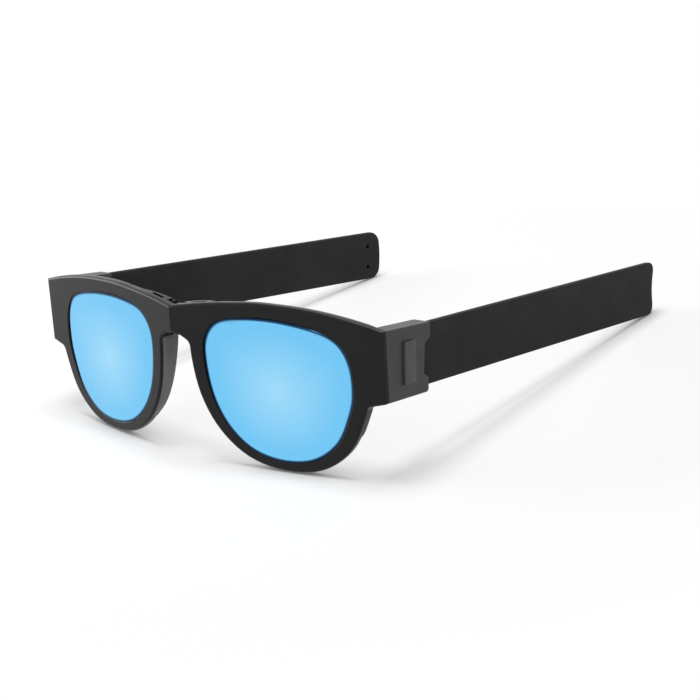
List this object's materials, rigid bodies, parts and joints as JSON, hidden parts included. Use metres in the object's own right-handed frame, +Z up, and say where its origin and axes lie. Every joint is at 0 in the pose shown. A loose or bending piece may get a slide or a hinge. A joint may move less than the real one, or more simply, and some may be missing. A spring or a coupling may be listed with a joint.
{
  "type": "slap sunglasses",
  "caption": "Folding sunglasses with ice-blue mirror lenses and snap-curl silicone bands in place of temples, clipped to a hinged two-part frame.",
  "frame": {"origin": "centre of the bounding box's base, with the glasses lying on the bottoms of the rims and the tips of the bands", "axes": "+X towards the wearer's left, +Y from the lenses back along the bands, +Z up"},
  "size_m": [0.1452, 0.1578, 0.0486],
  "materials": {
    "frame_plastic": "satin, black",
    "clip_plastic": "fine matt, dark grey",
    "mirror_lens": "ice-blue mirror coat on tinted polycarbonate",
    "silicone": "matt, black",
    "pad_silicone": "matt, dark grey",
    "spring_steel": "plain"
  },
  "bodies": {
    "left_front": {"front_half_left": "frame_plastic", "lens_left": "mirror_lens", "nose_pad_left": "pad_silicone", "hinge_leaf_left": "spring_steel", "hinge_pin": "spring_steel", "hinge_screws_left": "spring_steel", "clip_housing_left": "clip_plastic", "clip_cover_left": "clip_plastic", "tab_spring_left": "spring_steel", "band_clamp_left": "spring_steel", "band_rivets_left": "spring_steel", "band_root_left": "silicone", "strip_root_left": "spring_steel"},
    "right_front": {"front_half_right": "frame_plastic", "lens_right": "mirror_lens", "nose_pad_right": "pad_silicone", "hinge_leaf_right": "spring_steel", "hinge_screws_right": "spring_steel", "clip_housing_right": "clip_plastic", "clip_cover_right": "clip_plastic", "tab_spring_right": "spring_steel", "band_clamp_right": "spring_steel", "band_rivets_right": "spring_steel", "band_root_right": "silicone", "strip_root_right": "spring_steel"},
    "left_tab": {"release_tab_left": "clip_plastic"},
    "left_band_1": {"band_sleeve_left_1": "silicone", "steel_strip_left_1": "spring_steel"},
    "left_band_2": {"band_sleeve_left_2": "silicone", "steel_strip_left_2": "spring_steel"},
    "left_band_3": {"band_sleeve_left_3": "silicone", "steel_strip_left_3": "spring_steel"},
    "left_band_4": {"band_sleeve_left_4": "silicone", "steel_strip_left_4": "spring_steel"},
    "left_band_5": {"band_sleeve_left_5": "silicone", "steel_strip_left_5": "spring_steel"},
    "left_band_6": {"band_sleeve_left_6": "silicone", "steel_strip_left_6": "spring_steel"},
    "left_band_7": {"band_sleeve_left_7": "silicone", "steel_strip_left_7": "spring_steel"},
    "left_band_8": {"band_sleeve_left_8": "silicone", "steel_strip_left_8": "spring_steel"},
    "right_tab": {"release_tab_right": "clip_plastic"},
    "right_band_1": {"band_sleeve_right_1": "silicone", "steel_strip_right_1": "spring_steel"},
    "right_band_2": {"band_sleeve_right_2": "silicone", "steel_strip_right_2": "spring_steel"},
    "right_band_3": {"band_sleeve_right_3": "silicone", "steel_strip_right_3": "spring_steel"},
    "right_band_4": {"band_sleeve_right_4": "silicone", "steel_strip_right_4": "spring_steel"},
    "right_band_5": {"band_sleeve_right_5": "silicone", "steel_strip_right_5": "spring_steel"},
    "right_band_6": {"band_sleeve_right_6": "silicone", "steel_strip_right_6": "spring_steel"},
    "right_band_7": {"band_sleeve_right_7": "silicone", "steel_strip_right_7": "spring_steel"},
    "right_band_8": {"band_sleeve_right_8": "silicone", "steel_strip_right_8": "spring_steel"}
  },
  "joints": [
    {"name": "bridge_fold", "type": "hinge", "parent": "left_front", "child": "right_front", "pos_m": [0, -0.07374, 0.04013], "axis": [0, -0.111, -0.9938], "range_deg": [0, 40]},
    {"name": "left_tab_press", "type": "slide", "parent": "left_front", "child": "left_tab", "axis": [-0.9984, -0.055, 0.0097], "range_m": [0, 0.0008], "stiffness_N_per_m": 800, "springref_m": -0.001},
    {"name": "left_curl_1", "type": "hinge", "parent": "left_front", "child": "left_band_1", "pos_m": [0.06789, -0.03619, 0.02823], "axis": [0, 0.1731, 0.9849], "range_deg": [0, 19]},
    {"name": "left_curl_2", "type": "hinge", "parent": "left_band_1", "child": "left_band_2", "pos_m": [0.06708, -0.02193, 0.02572], "axis": [0, 0.1731, 0.9849], "range_deg": [0, 38.1]},
    {"name": "left_curl_3", "type": "hinge", "parent": "left_band_2", "child": "left_band_3", "pos_m": [0.06627, -0.00767, 0.02321], "axis": [0, 0.1731, 0.9849], "range_deg": [0, 38.1]},
    {"name": "left_curl_4", "type": "hinge", "parent": "left_band_3", "child": "left_band_4", "pos_m": [0.06546, 0.00659, 0.02071], "axis": [0, 0.1731, 0.9849], "range_deg": [0, 38.1]},
    {"name": "left_curl_5", "type": "hinge", "parent": "left_band_4", "child": "left_band_5", "pos_m": [0.06465, 0.02085, 0.0182], "axis": [0, 0.1731, 0.9849], "range_deg": [0, 38.1]},
    {"name": "left_curl_6", "type": "hinge", "parent": "left_band_5", "child": "left_band_6", "pos_m": [0.06384, 0.03511, 0.0157], "axis": [0, 0.1731, 0.9849], "range_deg": [0, 38.1]},
    {"name": "left_curl_7", "type": "hinge", "parent": "left_band_6", "child": "left_band_7", "pos_m": [0.06303, 0.04937, 0.01319], "axis": [0, 0.1731, 0.9849], "range_deg": [0, 38.1]},
    {"name": "left_curl_8", "type": "hinge", "parent": "left_band_7", "child": "left_band_8", "pos_m": [0.06223, 0.06363, 0.01068], "axis": [0, 0.1731, 0.9849], "range_deg": [0, 38.1]},
    {"name": "right_tab_press", "type": "slide", "parent": "right_front", "child": "right_tab", "axis": [0.9984, -0.055, 0.0097], "range_m": [0, 0.0008], "stiffness_N_per_m": 800, "springref_m": -0.001},
    {"name": "right_curl_1", "type": "hinge", "parent": "right_front", "child": "right_band_1", "pos_m": [-0.06789, -0.03619, 0.02823], "axis": [0, -0.1731, -0.9849], "range_deg": [0, 19]},
    {"name": "right_curl_2", "type": "hinge", "parent": "right_band_1", "child": "right_band_2", "pos_m": [-0.06708, -0.02193, 0.02572], "axis": [0, -0.1731, -0.9849], "range_deg": [0, 38.1]},
    {"name": "right_curl_3", "type": "hinge", "parent": "right_band_2", "child": "right_band_3", "pos_m": [-0.06627, -0.00767, 0.02321], "axis": [0, -0.1731, -0.9849], "range_deg": [0, 38.1]},
    {"name": "right_curl_4", "type": "hinge", "parent": "right_band_3", "child": "right_band_4", "pos_m": [-0.06546, 0.00659, 0.02071], "axis": [0, -0.1731, -0.9849], "range_deg": [0, 38.1]},
    {"name": "right_curl_5", "type": "hinge", "parent": "right_band_4", "child": "right_band_5", "pos_m": [-0.06465, 0.02085, 0.0182], "axis": [0, -0.1731, -0.9849], "range_deg": [0, 38.1]},
    {"name": "right_curl_6", "type": "hinge", "parent": "right_band_5", "child": "right_band_6", "pos_m": [-0.06384, 0.03511, 0.0157], "axis": [0, -0.1731, -0.9849], "range_deg": [0, 38.1]},
    {"name": "right_curl_7", "type": "hinge", "parent": "right_band_6", "child": "right_band_7", "pos_m": [-0.06303, 0.04937, 0.01319], "axis": [0, -0.1731, -0.9849], "range_deg": [0, 38.1]},
    {"name": "right_curl_8", "type": "hinge", "parent": "right_band_7", "child": "right_band_8", "pos_m": [-0.06223, 0.06363, 0.01068], "axis": [0, -0.1731, -0.9849], "range_deg": [0, 38.1]}
  ],
  "couplings": [
    {"joint": "left_curl_2", "follows": "left_curl_1", "ratio": 2},
    {"joint": "left_curl_3", "follows": "left_curl_1", "ratio": 2},
    {"joint": "left_curl_4", "follows": "left_curl_1", "ratio": 2},
    {"joint": "left_curl_5", "follows": "left_curl_1", "ratio": 2},
    {"joint": "left_curl_6", "follows": "left_curl_1", "ratio": 2},
    {"joint": "left_curl_7", "follows": "left_curl_1", "ratio": 2},
    {"joint": "left_curl_8", "follows": "left_curl_1", "ratio": 2},
    {"joint": "right_curl_2", "follows": "right_curl_1", "ratio": 2},
    {"joint": "right_curl_3", "follows": "right_curl_1", "ratio": 2},
    {"joint": "right_curl_4", "follows": "right_curl_1", "ratio": 2},
    {"joint": "right_curl_5", "follows": "right_curl_1", "ratio": 2},
    {"joint": "right_curl_6", "follows": "right_curl_1", "ratio": 2},
    {"joint": "right_curl_7", "follows": "right_curl_1", "ratio": 2},
    {"joint": "right_curl_8", "follows": "right_curl_1", "ratio": 2}
  ]
}
